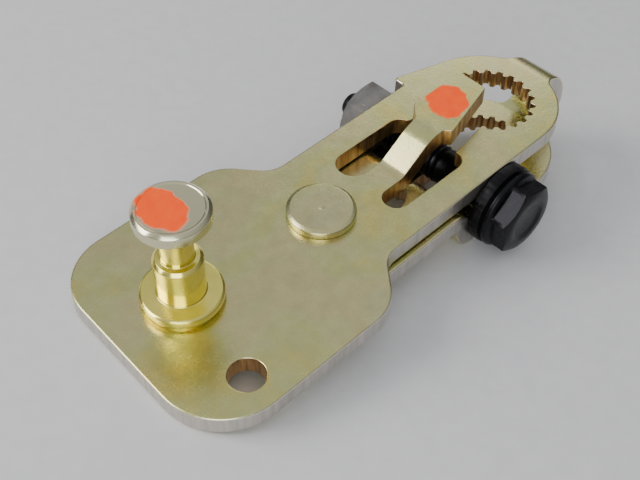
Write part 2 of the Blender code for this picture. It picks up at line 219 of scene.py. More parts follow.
def blank_outline():
    """The blank's outer edge: the base and arm's near side, the lower leaf, then the far side."""
    top_near = neck_fillet(TOP_RING, NECK_NEAR, NECK_FILLET_NEAR)
    top_far = neck_fillet(TOP_RING, NECK_FAR, NECK_FILLET_FAR)
    low_near = neck_fillet(LOWER_RING, NECK_NEAR, NECK_FILLET_NEAR)
    low_far = neck_fillet(LOWER_RING, NECK_FAR, NECK_FILLET_FAR)
    near = rounded([(BASE_FAR_X, BASE_HALF, 0), (BASE_NEAR_X, -BASE_HALF, BASE_NEAR_ROUNDING),
                    (SHOULDER_X, -BASE_HALF, SHOULDER_ROUNDING),
                    (ARM_START_X, -ARM_HALF, ARM_START_ROUNDING), (RING_X, -ARM_HALF, 0)])[1:-1]
    near += arc(RING_X, RING_Y, TOP_RING, -90, ring_angle(top_near[0]), 40)[:-1] + top_near
    near_leg = math.degrees(math.asin((ARM_HALF + RING_Y) / LOWER_RING)) - 180
    far_leg = 180 - math.degrees(math.asin((ARM_HALF - RING_Y) / LOWER_RING))
    leaf = low_near[::-1] + arc(RING_X, RING_Y, LOWER_RING, ring_angle(low_near[0]), near_leg, 40)[1:]
    leaf += [(NARROW_TO_X, -ARM_HALF), (WIDE_FROM_X, -LOWER_HALF), (JOGGLE_END, -LOWER_HALF)]
    corner_x = LOWER_END_X + LOWER_END_ROUNDING
    leaf += arc(corner_x, LOWER_END_ROUNDING - LOWER_HALF, LOWER_END_ROUNDING, -90, -180, 16)
    leaf += arc(corner_x, LOWER_HALF - LOWER_END_ROUNDING, LOWER_END_ROUNDING, 180, 90, 16)
    leaf += [(JOGGLE_END, LOWER_HALF), (WIDE_FROM_X, LOWER_HALF), (NARROW_TO_X, ARM_HALF)]
    leaf += arc(RING_X, RING_Y, LOWER_RING, far_leg, ring_angle(low_far[0]), 40)[:-1] + low_far
    far = top_far[::-1] + arc(RING_X, RING_Y, TOP_RING, ring_angle(top_far[0]), 74, 24)[1:]
    far += rounded([(31.2, 8.54, 0), (LUG_X, LUG_Y, 0.5), (LUG_X, ARM_HALF, 0.4),
                    (ARM_START_X, ARM_HALF, ARM_START_ROUNDING),
                    (SHOULDER_X, BASE_HALF, SHOULDER_ROUNDING),
                    (BASE_FAR_X, BASE_HALF, BASE_FAR_ROUNDING), (BASE_NEAR_X, -BASE_HALF, 0)])[1:-1]
    return near + unrolled(leaf) + far


def tongue_opening():
    """Two slots, the mouth and the serrated eye, all round the tongue."""
    points = arc(7.93, -3.875, 1.625, 90, 270, 24) + arc(16.8, -3.6, 1.9, -90, 0, 14)
    points += [(18.9, -3.55), (21.7, -3.2), (23.4, -2.9)] + teeth(-150, 131)
    points += [(24.3, 3.85), (18.95, 3.95)] + arc(16.8, 3.6, 1.9, 20, 90, 12)
    points += arc(8.35, 3.45, 2.05, 90, 270, 24)
    head = rounded([(12.0, STRAP_FAR, 0), (16.6, STRAP_FAR, 1.2), (18.5, 3.3, 0.35), (27.1, 3.4, 0.35),
                    (27.0, -0.75, 0.35), (18.2, -3.1, 0.35), (17.5, STRAP_NEAR, 0.5),
                    (12.0, STRAP_NEAR, 0)], 5)[1:-1]
    return points + [(x + TONGUE_SLACK, y) for x, y in head]


def keyhole():
    """Relief hole, slot and serrated eye of the lower leaf."""
    mouth = math.degrees(math.asin(SLOT_HALF / RELIEF_RADIUS))
    side_xs = (JOGGLE_END, JOGGLE_X, SLOT_END_X)
    points = arc(RELIEF_X, EYE_Y, RELIEF_RADIUS, mouth, 360 - mouth, 48)
    points += [(x, EYE_Y - SLOT_HALF) for x in side_xs] + teeth(-150, 150)
    points += [(x, EYE_Y + SLOT_HALF) for x in reversed(side_xs)]
    return unrolled(points)


def walk(path, s):
    """Place and heading at a distance s along a path of (length, radius) pieces."""
    x = z = heading = 0.0
    for length, radius in path:
        step = min(s, length)
        if radius:
            turn = step / radius
            x += radius * (math.sin(heading + turn) - math.sin(heading))
            z += radius * (math.cos(heading) - math.cos(heading + turn))
            heading += turn
        else:
            x += step * math.cos(heading)
            z += step * math.sin(heading)
        s -= step
        if s <= 0:
            break
    return x, z, heading


# The paths that the leaf and the tongue are bent along, each with a straight last piece that is
# longer than the sheet.
STRAIGHT_END = (200.0, 0)
LEAF_PATH = [(FOLD_LENGTH, -FOLD_MID), (FOLD_X - JOGGLE_X, 0), (JOGGLE_BEND * JOGGLE_ANGLE, -JOGGLE_BEND),
             (JOGGLE_RUN, 0), (JOGGLE_BEND * JOGGLE_ANGLE, JOGGLE_BEND), STRAIGHT_END]
TONGUE_PATH = [(TONGUE_BEND * TONGUE_ANGLE, TONGUE_BEND), (TONGUE_RUN, 0),
               (TONGUE_BEND * TONGUE_ANGLE, -TONGUE_BEND), STRAIGHT_END]


def bend_lines(path, start, pieces):
    """Places on the blank that need a row of edges for the sheet to bend smoothly."""
    lines = []
    for length, radius in path[:-1]:
        count = pieces if radius else 1
        lines += [start + length * k / count for k in range(count + 1)]
        start += length
    return lines


def pressed(co):
    """Where a point of the flat blank ends up on the folded lever."""
    x, y, w = (c / MM for c in co)
    tongue_near = -3.33 + 0.21 * (x - 19.1)
    on_tongue = TONGUE_BEND_X < x < TONGUE_LIMIT_X and tongue_near < y < TONGUE_LIMIT_Y
    start, path = (TONGUE_BEND_X, TONGUE_PATH) if on_tongue else (FOLD_X, LEAF_PATH)
    if x <= start:
        return at_lever(x, y, w - SHEET / 2)
    dx, dz, heading = walk(path, x - start)
    return at_lever(start + dx - w * math.sin(heading), y, dz - SHEET / 2 + w * math.cos(heading))


def grown(metal, ring):
    """Extrudes a closed ring of edges: the new vertices and the new ring."""
    made = bmesh.ops.extrude_edge_only(metal, edges=ring)["geom"]
    verts = [g for g in made if isinstance(g, bmesh.types.BMVert)]
    fresh = set(verts)
    return verts, list({e for v in verts for e in v.link_edges if set(e.verts) <= fresh})


def creased(metal):
    """Smooth shading, with a crease wherever two faces meet at more than the sharp angle."""
    for face in metal.faces:
        face.smooth = True
    for edge in metal.edges:
        if len(edge.link_faces) == 2 and edge.calc_face_angle() > SHARP_ANGLE:
            edge.smooth = False


def lay_edge(sheet, points, rim, is_hole, order, cut, inner):
    """One cut edge of the blank, rolled over by `rim` at both faces; returns each face's border."""
    area = sum(a[0] * b[1] - b[0] * a[1] for a, b in zip(points, points[1:] + points[:1]))
    side = 1 if (area > 0) != is_hole else -1
    pull = []
    for i, (x, y) in enumerate(points):
        before = Vector((x - points[i - 1][0], y - points[i - 1][1])).normalized()
        after = points[(i + 1) % len(points)]
        after = Vector((after[0] - x, after[1] - y)).normalized()
        first = Vector((-before.y, before.x))
        middle = (first + Vector((-after.y, after.x))).normalized()
        pull.append(middle * side * min(1 / max(middle.dot(first), 0.3), 1.5))
    roll = [(rim * (1 - math.sin(a)), rim * (1 - math.cos(a)) - SHEET / 2, a / math.radians(90))
            for a in (math.radians(22.5 * k) for k in range(5))]
    roll += [(inset, -height, share) for inset, height, share in reversed(roll)]
    verts = [sheet.verts.new((0, 0, 0)) for _ in points]
    for i, vert in enumerate(verts):
        vert[order] = i
    ring = [sheet.edges.new((verts[i - 1], verts[i])) for i in range(len(verts))]
    border = ring
    for layer, (inset, height, share) in enumerate(roll):
        if layer:
            verts, ring = grown(sheet, ring)
        for vert in verts:
            i = vert[order]
            place = Vector(points[i]) + pull[i] * inset
            vert.co = (place.x * MM, place.y * MM, height * MM)
            vert[cut] = share
            vert[inner] = share if is_hole else 0.0
    return border, ring


sheet = bmesh.new()
order = sheet.verts.layers.int.new("order")
cut = sheet.verts.layers.float.new("cut_edge")
inner = sheet.verts.layers.float.new("hole_wall")
rivet_hole = arc(*RIVET_AT, SHANK_HOLE, 0, 352.5, 47)
stud_hole = arc(*STUD_AT, SHANK_HOLE, 0, 352.5, 47)
link_hole = arc(*LINK_AT, LINK_HOLE, 0, 354, 59)
under_side = []
top_side = []
# Each cut edge with how far the press has rolled it over.
for points, rim, is_hole in ((blank_outline(), 0.24, False), (tongue_opening(), 0.09, True),
                             (keyhole(), 0.09, True), (rivet_hole, 0.1, True),
                             (unrolled(rivet_hole), 0.1, True), (stud_hole, 0.1, True),
                             (link_hole, 0.14, True)):
    low, high = lay_edge(sheet, points, rim, is_hole, order, cut, inner)
    under_side += low
    top_side += high
borders = set(under_side + top_side)
for edges, normal in ((under_side, (0, 0, -1)), (top_side, (0, 0, 1))):
    bmesh.ops.triangle_fill(sheet, edges=edges, use_beauty=True, normal=normal)
for edge in borders:
    edge.smooth = False
lines = bend_lines(TONGUE_PATH, TONGUE_BEND_X, 14) + bend_lines(LEAF_PATH[:2], FOLD_X, 56)
lines += bend_lines(LEAF_PATH[1:], FOLD_X + FOLD_LENGTH, 14)
for line in sorted(set(lines)):
    bmesh.ops.bisect_plane(sheet, geom=sheet.verts[:] + sheet.edges[:] + sheet.faces[:], dist=0.000001,
                           plane_co=(line * MM, 0, 0), plane_no=(1, 0, 0))
for vert in sheet.verts:
    vert.co = pressed(vert.co)
bmesh.ops.recalc_face_normals(sheet, faces=sheet.faces[:])
creased(sheet)
plate_mesh = bpy.data.meshes.new("plate")
sheet.to_mesh(plate_mesh)
sheet.free()
plate = bpy.data.objects.new("folded_plate", plate_mesh)
bpy.context.scene.collection.objects.link(plate)


def even_shading(piece):
    """Broad faces keep their own normal, and the small roundings between them take the turn."""
    weighted = piece.modifiers.new("even_shading", "WEIGHTED_NORMAL")
    weighted.mode = "FACE_AREA"
    weighted.keep_sharp = True


even_shading(plate)
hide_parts("lever_plate")
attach(plate, "lever")


def wire(tree, kind, links=None, **settings):
    """A node with its settings, its sockets either joined to another socket or given a value."""
    made = tree.nodes.new("ShaderNode" + kind)
    for name, value in settings.items():
        setattr(made, name, value)
    for key, value in (links or {}).items():
        if isinstance(value, bpy.types.NodeSocket):
            tree.links.new(value, made.inputs[key])
        else:
            made.inputs[key].default_value = value
    return made


def ramp(tree, source, stops):
    """A colour ramp with (position, colour) stops."""
    made = wire(tree, "ValToRGB", {"Fac": source})
    while len(made.color_ramp.elements) < len(stops):
        made.color_ramp.elements.new(0.5)
    for element, (position, colour) in zip(made.color_ramp.elements, stops):
        element.position = position
        element.color = (*colour, 1)
    return made.outputs["Color"]


def speckle(tree, place, scale, detail=4.0, roughness=0.55, distortion=0.0):
    """A noise value, mostly between 0.3 and 0.7."""
    return wire(tree, "TexNoise", {"Vector": place, "Scale": scale, "Detail": detail, "Roughness": roughness,
                                   "Distortion": distortion}).outputs["Fac"]


def spread(tree, value, low, high, to_low=0.0, to_high=1.0):
    """A value stretched from one range to another and held at its ends."""
    return wire(tree, "MapRange", {"Value": value, "From Min": low, "From Max": high,
                                   "To Min": to_low, "To Max": to_high}).outputs["Result"]


def mixed(tree, factor, a, b, blend="MIX"):
    """Two colours, each a socket or a value, mixed by a factor."""
    made = wire(tree, "Mix", data_type="RGBA", blend_type=blend)
    for key, value in ((0, factor), (6, a), (7, b)):
        if isinstance(value, bpy.types.NodeSocket):
            tree.links.new(value, made.inputs[key])
        elif key:
            made.inputs[key].default_value = (*value, 1)
        else:
            made.inputs[key].default_value = value
    return made.outputs[2]


def sums(tree, operation, a, b):
    """One step of arithmetic on two values."""
    return wire(tree, "Math", {0: a, 1: b}, operation=operation).outputs[0]


def start_group(name, inputs, outputs):
    """A node group with its inputs as (name, kind, value) and its outputs as (name, kind)."""
    tree = bpy.data.node_groups.new(name, "ShaderNodeTree")
    for label, kind, value in inputs:
        socket = tree.interface.new_socket(name=label, in_out="INPUT", socket_type=kind)
        socket.default_value = value
    for label, kind in outputs:
        tree.interface.new_socket(name=label, in_out="OUTPUT", socket_type=kind)
    return tree, tree.nodes.new("NodeGroupInput"), tree.nodes.new("NodeGroupOutput")


# Yellow zinc plating: a thin chromate film whose tint drifts from gold to olive, pink and grey.
plating, given, put = start_group(
    "yellow_zinc_film",
    [("Gold", "NodeSocketColor", (0.62, 0.55, 0.33, 1)), ("Drift", "NodeSocketFloat", 1.0),
     ("Grain", "NodeSocketFloat", 1.0), ("Satin", "NodeSocketFloat", 0.24)],
    [("Color", "NodeSocketColor"), ("Roughness", "NodeSocketFloat"), ("Height", "NodeSocketFloat")])
place = wire(plating, "TexCoord").outputs["Object"]
film = speckle(plating, place, 120.0, 4.0, 0.55, 0.3)
tint = ramp(plating, film, [(0.34, (1.06, 0.98, 0.70)), (0.44, (0.95, 1.0, 0.88)), (0.51, (1.0, 1.0, 1.0)),
                            (0.58, (1.04, 0.96, 0.93)), (0.68, (0.96, 0.985, 1.05))])
colour = mixed(plating, given.outputs["Drift"], given.outputs["Gold"],
               mixed(plating, 1.0, given.outputs["Gold"], tint, "MULTIPLY"))
cloud = speckle(plating, place, 520.0, 6.0, 0.7)
clouding = ramp(plating, cloud, [(0.3, (0.91, 0.91, 0.89)), (0.7, (1.06, 1.06, 1.05))])
colour = mixed(plating, 1.0, colour, clouding, "MULTIPLY")
rolled = wire(plating, "Mapping", {"Vector": place, "Rotation": (0, 0, 0.35), "Scale": (1.0, 14.0, 1.0)})
streak = speckle(plating, rolled.outputs["Vector"], 260.0, 3.0, 0.7)
crossed = wire(plating, "Mapping", {"Vector": place, "Rotation": (0, 0, -0.9), "Scale": (0.6, 22.0, 1.0)})
scratch = spread(plating, speckle(plating, crossed.outputs["Vector"], 300.0, 2.0, 0.5), 0.70, 0.76)
pits = spread(plating, speckle(plating, place, 2600.0, 3.0, 0.6), 0.38, 0.62)
colour = mixed(plating, sums(plating, "MULTIPLY", scratch, 0.3), colour, (0.80, 0.78, 0.68))
rough = sums(plating, "MULTIPLY", given.outputs["Satin"], spread(plating, cloud, 0.3, 0.7, 0.88, 1.14))
rough = sums(plating, "ADD", rough, spread(plating, streak, 0.3, 0.7, -0.012, 0.012))
height = sums(plating, "ADD", sums(plating, "MULTIPLY", pits, given.outputs["Grain"]),
              sums(plating, "MULTIPLY", streak, 0.07))
plating.links.new(colour, put.inputs["Color"])
plating.links.new(rough, put.inputs["Roughness"])
plating.links.new(sums(plating, "SUBTRACT", height, sums(plating, "MULTIPLY", scratch, 0.2)),
                  put.inputs["Height"])


# Fluorescent marking paint: a dab with a ragged edge, in a group that gives its mask.
dab, dab_in, dab_out = start_group(
    "paint_dab",
    [("Centre", "NodeSocketVector", (0, 0, 0)), ("Reach", "NodeSocketVector", (1, 1, 1)),
     ("Turn", "NodeSocketFloat", 0.0)],
    [("Mask", "NodeSocketFloat")])
place = wire(dab, "TexCoord").outputs["Object"]
ragged = wire(dab, "TexNoise", {"Vector": place, "Scale": 380.0, "Detail": 3.0}).outputs["Color"]
ragged = wire(dab, "VectorMath", {0: ragged, 1: (0.5, 0.5, 0.5)}, operation="SUBTRACT").outputs[0]
shaken = wire(dab, "VectorMath", {0: ragged, 1: (0.0022, 0.0022, 0)}, operation="MULTIPLY").outputs[0]
shaken = wire(dab, "VectorMath", {0: place, 1: shaken}, operation="ADD").outputs[0]
offset = wire(dab, "VectorMath", {0: shaken, 1: dab_in.outputs["Centre"]}, operation="SUBTRACT").outputs[0]
turned_dab = wire(dab, "VectorRotate", {"Vector": offset, "Angle": dab_in.outputs["Turn"]},
                  rotation_type="Z_AXIS").outputs[0]
unit = wire(dab, "VectorMath", {0: turned_dab, 1: dab_in.outputs["Reach"]}, operation="DIVIDE").outputs[0]
away = wire(dab, "VectorMath", {0: unit}, operation="LENGTH").outputs["Value"]
dab.links.new(spread(dab, away, 1.06, 0.94), dab_out.inputs["Mask"])


def zinc(name, gold, drift, grain, satin, dab_at=None, cut_colour=None, rubbed_above=None):
    """Yellow-zinc plated steel.

    dab_at is (centre, reach, turn) for a dab of orange paint, cut_colour tints the cut edges, and
    above the height rubbed_above the plating is worn pale."""
    material = bpy.data.materials.new(name)
    material.use_nodes = True
    tree = material.node_tree
    shader = tree.nodes["Principled BSDF"]
    shader.inputs["IOR"].default_value = 1.6
    film = wire(tree, "Group", node_tree=plating)
    film.inputs["Gold"].default_value = (*gold, 1)
    film.inputs["Drift"].default_value = drift
    film.inputs["Grain"].default_value = grain
    film.inputs["Satin"].default_value = satin
    colour = film.outputs["Color"]
    rough = film.outputs["Roughness"]
    height = film.outputs["Height"]
    metal = None
    if rubbed_above:
        place = wire(tree, "TexCoord").outputs["Object"]
        rise = wire(tree, "SeparateXYZ", {0: place}).outputs["Z"]
        paled = spread(tree, rise, rubbed_above - 0.0002, rubbed_above + 0.0002, 0.0, 0.8)
        colour = mixed(tree, paled, colour, (0.66, 0.65, 0.52))
    if cut_colour:
        share = wire(tree, "Attribute", attribute_name="cut_edge").outputs["Fac"]
        # The rolled rim of each cut edge is turned pale.
        paled = spread(tree, share, 0.25, 0.6)
        wall = spread(tree, share, 0.85, 1.0)
        painted_reflection_mask = wire(tree, "Attribute", attribute_name="hole_wall").outputs["Fac"]
        colour = mixed(tree, sums(tree, "MULTIPLY", paled, 0.6), colour, (0.90, 0.86, 0.70))
        place = wire(tree, "TexCoord").outputs["Object"]
        sheared = wire(tree, "Mapping", {"Vector": place, "Scale": (1.0, 1.0, 0.08)}).outputs["Vector"]
        tear = speckle(tree, sheared, 1500.0, 3.0, 0.7)
        torn = ramp(tree, tear, [(0.3, tuple(c * 0.75 for c in cut_colour)),
                                 (0.7, tuple(c * 1.2 for c in cut_colour))])
        colour = mixed(tree, sums(tree, "MULTIPLY", wall, 0.75), colour, torn)
        # The hole walls take an amber colour over the torn grain: a painted reflection of the gold plating
        # around them.
        amber_painted_reflection = ramp(tree, tear, [(0.32, (0.30, 0.14, 0.07)), (0.50, (0.68, 0.40, 0.14)),
                                  (0.68, (0.96, 0.68, 0.26))])
        painted_reflection_mask = sums(tree, "MULTIPLY", spread(tree, painted_reflection_mask, 0.3, 0.9), 0.8)
        colour = mixed(tree, painted_reflection_mask, colour, amber_painted_reflection)
        height = sums(tree, "ADD", height, sums(tree, "MULTIPLY", sums(tree, "MULTIPLY", tear, wall), 1.5))
        rough = sums(tree, "ADD", rough, sums(tree, "MULTIPLY", wall, 0.08))
    if dab_at:
        mark = wire(tree, "Group", node_tree=dab)
        centre, reach, turn = dab_at
        mark.inputs["Centre"].default_value = centre
        mark.inputs["Reach"].default_value = reach
        mark.inputs["Turn"].default_value = turn
        mask = mark.outputs["Mask"]
        place = wire(tree, "TexCoord").outputs["Object"]
        thin = speckle(tree, place, 900.0, 4.0)
        orange = ramp(tree, thin, [(0.3, (0.92, 0.070, 0.006)), (0.7, (1.0, 0.105, 0.012))])
        colour = mixed(tree, mask, colour, orange)
        rough = sums(tree, "ADD", sums(tree, "MULTIPLY", rough, sums(tree, "SUBTRACT", 1.0, mask)),
                     sums(tree, "MULTIPLY", mask, 0.6))
        height = sums(tree, "ADD", height, sums(tree, "MULTIPLY", mask, 2.5))
        metal = sums(tree, "SUBTRACT", 1.0, mask)
        # The dab also shines a faint orange of its own whatever the lamps do: a painted glow standing in for
        # the paint's fluorescence.
        painted_glow = mixed(tree, mask, (0.0, 0.0, 0.0), (0.20, 0.022, 0.0))
        tree.links.new(painted_glow, shader.inputs["Emission Color"])
        shader.inputs["Emission Strength"].default_value = 1.0
        shader.inputs["Specular IOR Level"].default_value = 0.15
    relief = wire(tree, "Bump", {"Height": height, "Strength": 0.2, "Distance": 0.00002})
    tree.links.new(colour, shader.inputs["Base Color"])
    tree.links.new(rough, shader.inputs["Roughness"])
    tree.links.new(relief.outputs["Normal"], shader.inputs["Normal"])
    if metal:
        tree.links.new(metal, shader.inputs["Metallic"])
    else:
        shader.inputs["Metallic"].default_value = 1.0
    return material


tongue_dab = (at_lever(21.7, 0.85, TONGUE_RISE), (0.0029, 0.0025, 0.0009), math.radians(-45))
plate_mesh.materials.append(zinc("plate_zinc", gold=(0.64, 0.61, 0.315), drift=1.0, grain=0.8, satin=0.26,
                                 dab_at=tongue_dab, cut_colour=(0.56, 0.52, 0.52)))


# ---------------------------------------------------------------------------------------------
# The centre rivet. A solid steel rivet whose flat round head holds the lower leaf's end to the
# base. The tail is upset under the leaf, and the head carries a faint dimple from the tool.
# ---------------------------------------------------------------------------------------------
SPIN_STEPS = 96
WELD = 0.0000005


def spun(profile, foot):
    """A turned piece: (radius, height, corner radius) stations spun about an upright axis at foot."""
    axis = Vector((0, 0, 1))
    outward = Vector((1, 0, 0))
    metal = bmesh.new()
    curve = rounded(profile, 6)
    verts = [metal.verts.new(foot + (outward * r + axis * h) * MM) for r, h in curve]
    edges = [metal.edges.new(pair) for pair in zip(verts, verts[1:])]
    if profile[0][0] > 0:
        edges.append(metal.edges.new((verts[-1], verts[0])))
    bmesh.ops.spin(metal, geom=verts + edges, cent=foot, axis=axis, angle=math.tau, steps=SPIN_STEPS,
                   use_merge=True)
    return metal


def finished(name, metal, node, body, material):
    """Welds a bmesh, shades it and makes it the visible piece for a CAD node."""
    bmesh.ops.remove_doubles(metal, verts=metal.verts[:], dist=WELD)
    bmesh.ops.dissolve_degenerate(metal, edges=metal.edges[:], dist=WELD)
    bmesh.ops.recalc_face_normals(metal, faces=metal.faces[:])
    creased(metal)
    mesh = bpy.data.meshes.new(name)
    metal.to_mesh(mesh)
    metal.free()
    mesh.materials.append(material)
    piece = bpy.data.objects.new(name, mesh)
    bpy.context.scene.collection.objects.link(piece)
    even_shading(piece)
    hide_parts(node)
    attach(piece, body)


SHANK = 2.55
SEAT = 0.02
rivet_low = -2 * SHEET - 2 * FIT
rivet_profile = [(0, 1.04, 0), (0.22, 1.05, 0.1), (0.4, 1.1, 0.15), (3.55, 1.1, 0.25), (4.0, 0.85, 0.2),
                 (4.0, SEAT, 0.1), (SHANK, SEAT, 0), (SHANK, rivet_low + 0.2, 0),
                 (3.6, rivet_low + 0.2, 0.2), (3.4, rivet_low - 1.1, 0.7), (0, rivet_low - 1.1, 0)]
finished("rivet", spun(rivet_profile, at_lever(*RIVET_AT, 0)), "centre_rivet", "lever",
         zinc("rivet_zinc", gold=(0.62, 0.60, 0.33), drift=0.8, grain=0.7, satin=0.27))


# ---------------------------------------------------------------------------------------------
# The cable stud. One turned steel piece: collar, shoulder, a narrower neck that a cable eye
# snaps round, and a flat head that keeps it on. Its tail is riveted over under the base.
# ---------------------------------------------------------------------------------------------
STUD_TOP = 13.5
STUD_HEAD = 4.0
STUD_NECK = 1.8
STUD_SHOULDER = 2.65
STUD_COLLAR = 4.5
stud_profile = [(0, STUD_TOP, 0), (3.3, STUD_TOP, 0.12), (3.42, 13.6, 0.08), (3.62, 13.6, 0.1),
                (STUD_HEAD, 13.25, 0.15), (STUD_HEAD, 12.1, 0.1), (3.8, 11.9, 0.06), (1.85, 11.9, 0.2),
                (STUD_NECK, 11.6, 0.0), (STUD_NECK, 6.7, 0.12), (2.3, 6.6, 0.1),
                (STUD_SHOULDER, 6.25, 0.12), (STUD_SHOULDER, 1.55, 0.15), (4.25, 1.5, 0.12),
                (STUD_COLLAR, 1.3, 0.12), (STUD_COLLAR, 0.55, 0.12), (4.15, 0.38, 0.05),
                (4.15, SEAT, 0), (SHANK, SEAT, 0), (SHANK, -SHEET - 0.05, 0),
                (3.4, -SHEET - 0.05, 0.1), (3.3, -3.3, 0.4), (0, -3.3, 0)]
stud_dab = (at_lever(-19.75, 2.1, STUD_TOP), (0.0023, 0.0032, 0.0009), math.radians(6))
finished("stud", spun(stud_profile, at_lever(*STUD_AT, 0)), "cable_stud", "lever",
         zinc("stud_zinc", gold=(0.95, 0.83, 0.21), drift=0.4, grain=0.3, satin=0.17, dab_at=stud_dab,
              rubbed_above=at_lever(0, 0, 11.8).z))


# ---------------------------------------------------------------------------------------------
# The pinch bolt. A black M5 flange bolt, forged with a dished hexagon head and a rolled thread,
# with a plain pilot at its tip that finds the nut.
# ---------------------------------------------------------------------------------------------
BOLT_X = 20.1
BOLT_Z = -SHEET - LEAF_GAP / 2
FLATS = 8.0
CHAMFER = math.radians(30)
HEAD_END = -14.3
FLANGE_BACK = -11.1
FLANGE = 5.0
BOLT_SHANK = 2.36
PITCH = 0.8
CREST = 2.4
ROOT = 2.02
THREAD_FROM = -1.1
THREAD_TO = 13.9
TURNS = 22
TURN_STEPS = 36
PILOT = 1.6
TIP = 15.4


def across(angle, corner_angle, flats):
    """Distance from a hexagon's centre to its side, along a bearing."""
    from_side = (angle - corner_angle) % math.radians(60) - math.radians(30)
    return flats / 2 / math.cos(from_side)


def stacked(metal, stations, corner_angle=0.0, count=144):
    """Rings along the bolt's axis, each (y, radius) or (y, "hex", chamfer circle, chamfer direction)."""
    order = metal.verts.layers.int.get("order") or metal.verts.layers.int.new("order")
    verts = bmesh.ops.create_circle(metal, segments=count, radius=0.001)["verts"]
    for i, vert in enumerate(verts):
        vert[order] = i
    ring = list({e for v in verts for e in v.link_edges})
    for layer, station in enumerate(stations):
        if layer:
            verts, ring = grown(metal, ring)
        for vert in verts:
            angle = math.tau * vert[order] / count
            y, shape = station[:2]
            if shape == "hex":
                shape = across(angle, corner_angle, FLATS)
                y += station[3] * max(shape - station[2], 0) * math.tan(CHAMFER)
            elif callable(shape):
                shape = shape(angle)
            vert.co = at_lever(BOLT_X + shape * math.cos(angle), y, BOLT_Z + shape * math.sin(angle))


def black_oxide(name, base, rough, grain, bump):
    """Oiled black oxide over steel, rubbed brown-grey in patches."""
    material = bpy.data.materials.new(name)
    material.use_nodes = True
    tree = material.node_tree
    shader = tree.nodes["Principled BSDF"]
    shader.inputs["Metallic"].default_value = 0.85
    place = wire(tree, "TexCoord").outputs["Object"]
    patch = speckle(tree, place, 380.0, 5.0, 0.65)
    fine = speckle(tree, place, grain, 4.0, 0.7)
    colour = ramp(tree, patch, [(0.35, base), (0.60, tuple(c * 1.7 for c in base)),
                                (0.78, tuple(c * k for c, k in zip(base, (3.6, 3.2, 2.8))))])
    rubbed = spread(tree, fine, 0.62, 0.74)
    colour = mixed(tree, sums(tree, "MULTIPLY", rubbed, 0.25), colour, (0.16, 0.145, 0.13))
    tree.links.new(colour, shader.inputs["Base Color"])
    tree.links.new(spread(tree, patch, 0.3, 0.7, rough - 0.07, rough + 0.1), shader.inputs["Roughness"])
    relief = wire(tree, "Bump", {"Height": fine, "Strength": bump, "Distance": 0.00004})
    tree.links.new(relief.outputs["Normal"], shader.inputs["Normal"])
    return material


bolt = bmesh.new()
stacked(bolt, [(-14.06, 0.0), (-14.06, 1.9), (-14.12, 2.25), (-14.27, 2.6), (HEAD_END, 2.8),
               (HEAD_END, 3.6), (HEAD_END, "hex", 3.7, 1), (-12.1, "hex", 9.0, 0), (-11.9, 4.66),
               (-11.82, 4.78), (-11.68, 4.94), (-11.5, FLANGE), (-11.25, FLANGE), (-11.12, 4.9),
               (FLANGE_BACK, 4.8), (FLANGE_BACK, 2.6), (-11.0, BOLT_SHANK), (-1.3, BOLT_SHANK),
               (-1.0, ROOT), (-1.0, 0.0)], corner_angle=math.radians(40))
stacked(bolt, [(13.6, 0.0), (13.6, ROOT), (14.1, 1.95), (14.5, PILOT), (15.1, PILOT), (15.34, 1.45),
               (TIP, 1.25), (TIP, 0.0)], count=72)
thread = bmesh.new()
ridge = [(ROOT, 0), (ROOT, 0.1), (CREST - 0.04, 0.34), (CREST, 0.38), (CREST, 0.42), (CREST - 0.04, 0.46),
         (ROOT, 0.7), (ROOT, PITCH)]
verts = [thread.verts.new(at_lever(BOLT_X + r, -2.4 + y, BOLT_Z)) for r, y in ridge]
edges = [thread.edges.new(pair) for pair in zip(verts, verts[1:])]
bmesh.ops.spin(thread, geom=verts + edges, cent=at_lever(BOLT_X, 0, BOLT_Z), axis=(0, 1, 0),
               angle=math.tau * TURNS, steps=TURN_STEPS * TURNS, dvec=(0, PITCH / TURN_STEPS * MM, 0))
bmesh.ops.remove_doubles(thread, verts=thread.verts[:], dist=0.000002)
for y, side in ((THREAD_FROM, -1), (THREAD_TO, 1)):
    bmesh.ops.bisect_plane(thread, geom=thread.verts[:] + thread.edges[:] + thread.faces[:], dist=WELD,
                           plane_co=at_lever(0, y, 0), plane_no=(0, side, 0), clear_outer=True)
    cut_y = at_lever(0, y, 0).y
    rim = [e for e in thread.edges if e.is_boundary and all(abs(v.co.y - cut_y) < 1e-6 for v in e.verts)]
    bmesh.ops.holes_fill(thread, edges=rim, sides=0)
thread_mesh = bpy.data.meshes.new("thread")
thread.to_mesh(thread_mesh)
thread.free()
bolt.from_mesh(thread_mesh)
bpy.data.meshes.remove(thread_mesh)
finished("flange_bolt", bolt, "pinch_bolt", "bolt",
         black_oxide("bolt_black", base=(0.010, 0.010, 0.012), rough=0.30, grain=2400.0, bump=0.4))


# ---------------------------------------------------------------------------------------------
# The bolt washer. A black hardened washer, captive under the bolt's flange, whose serrated rim
# and grainy faces keep the bolt from working loose.
# ---------------------------------------------------------------------------------------------
SERRATIONS = 36
WASHER_BORE = 2.5
WASHER_RIM = 5.15


def serrated(radius, depth):
    """A radius that dips by a small depth at each serration."""
    return lambda angle: radius - depth * (0.5 + 0.5 * math.cos(angle * SERRATIONS))


washer = bmesh.new()
stacked(washer, [(-9.15, WASHER_BORE), (-9.15, serrated(4.75, 0.02)), (-9.3, serrated(5.1, 0.03)),
                 (-9.42, serrated(WASHER_RIM, 0.035)), (-10.5, serrated(WASHER_RIM, 0.035)),
                 (-10.7, serrated(5.08, 0.03)), (-10.8, serrated(4.85, 0.02)), (-10.8, 4.7),
                 (-10.98, 4.5), (-10.98, WASHER_BORE), (-9.15, WASHER_BORE)], count=288)
finished("washer", washer, "bolt_washer", "washer",
         black_oxide("washer_black", base=(0.009, 0.009, 0.010), rough=0.42, grain=1500.0, bump=0.8))


